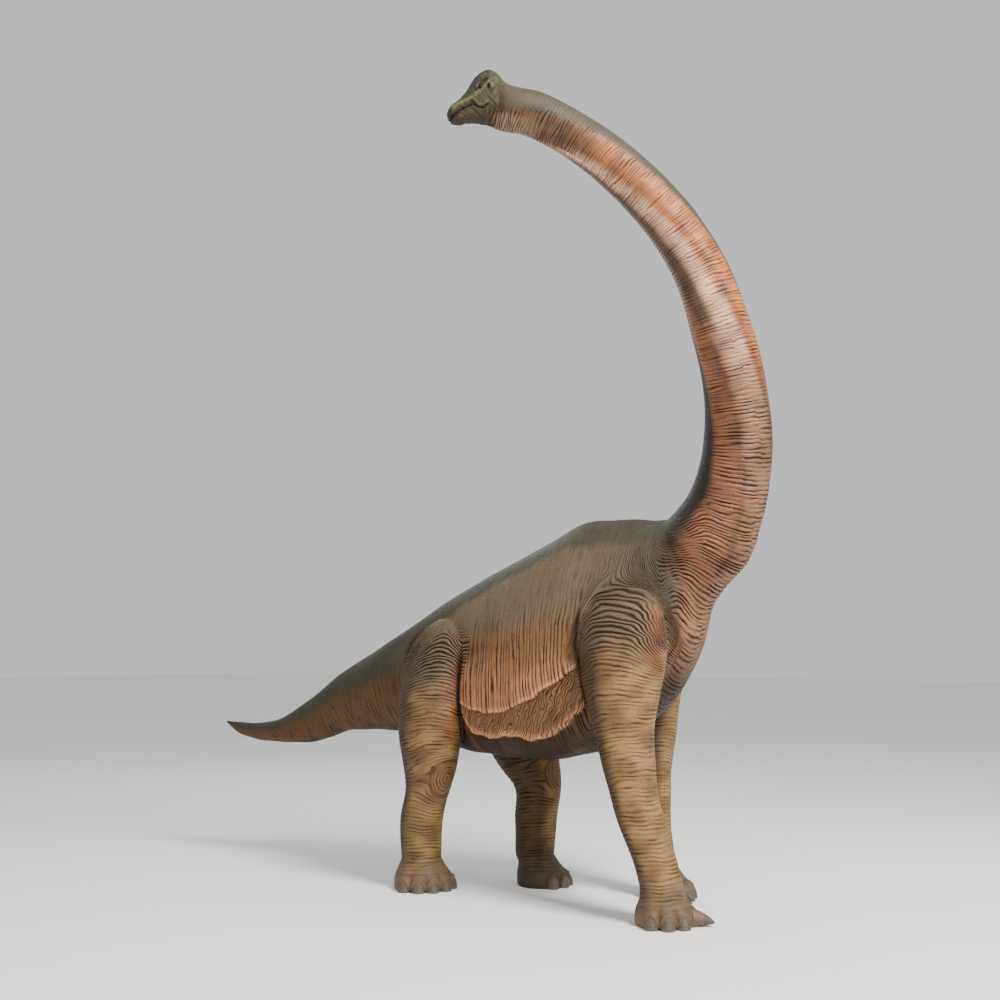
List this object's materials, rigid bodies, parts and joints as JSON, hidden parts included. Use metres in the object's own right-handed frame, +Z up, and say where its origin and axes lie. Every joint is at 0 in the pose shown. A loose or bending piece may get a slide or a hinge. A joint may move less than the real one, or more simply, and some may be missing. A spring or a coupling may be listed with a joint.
{
  "type": "brachiosaurus statue",
  "caption": "Long-necked dinosaur statue in painted rubbery skin, caught mid-step, its tall neck arching up and over so that the small domed head looks back to its right.",
  "frame": {"origin": "on the floor, under the middle of the statue's box", "axes": "+X the way the trunk faces, +Y the animal's left, +Z up"},
  "size_m": [4.717, 1.9739, 5.1127],
  "materials": {
    "tail_skin": "matt painted silicone skin, grey-green above and rusty brown below",
    "trunk_skin": "matt painted silicone skin, dark grey-green back shading through taupe and ochre to a salmon flank",
    "neck_skin": "satin painted silicone skin, grey-green back, orange side and pinkish brown throat",
    "head_skin": "satin painted silicone skin, grey-green dome with a yellow-green ridge and a brown jaw",
    "leg_skin": "matt painted silicone skin, khaki with brown wrinkles",
    "foot_skin": "matt painted silicone skin, grey-brown",
    "nail_horn": "matt cast resin, dark grey",
    "eye_gloss": "polished dark resin"
  },
  "bodies": {
    "root": {"tail_1": "tail_skin", "tail_2": "tail_skin", "tail_3": "tail_skin", "trunk": "trunk_skin", "neck_1": "neck_skin", "neck_2": "neck_skin", "neck_3": "neck_skin", "neck_4": "neck_skin", "neck_5": "neck_skin", "head": "head_skin", "lower_jaw": "head_skin", "eye_left": "eye_gloss", "eye_right": "eye_gloss", "right_fore_leg_upper": "leg_skin", "right_fore_leg_lower": "leg_skin", "right_fore_foot": "foot_skin", "right_fore_nail_1": "nail_horn", "right_fore_nail_2": "nail_horn", "right_fore_nail_3": "nail_horn", "right_fore_claw": "nail_horn", "left_fore_leg_upper": "leg_skin", "left_fore_leg_lower": "leg_skin", "left_fore_foot": "foot_skin", "left_fore_nail_1": "nail_horn", "left_fore_nail_2": "nail_horn", "left_fore_nail_3": "nail_horn", "left_fore_claw": "nail_horn", "right_hind_leg_upper": "leg_skin", "right_hind_leg_lower": "leg_skin", "right_hind_foot": "foot_skin", "right_hind_nail_1": "nail_horn", "right_hind_nail_2": "nail_horn", "right_hind_nail_3": "nail_horn", "right_hind_nail_4": "nail_horn", "right_hind_nail_5": "nail_horn", "left_hind_leg_upper": "leg_skin", "left_hind_leg_lower": "leg_skin", "left_hind_foot": "foot_skin", "left_hind_nail_1": "nail_horn", "left_hind_nail_2": "nail_horn", "left_hind_nail_3": "nail_horn", "left_hind_nail_4": "nail_horn", "left_hind_nail_5": "nail_horn"}
  },
  "joints": []
}
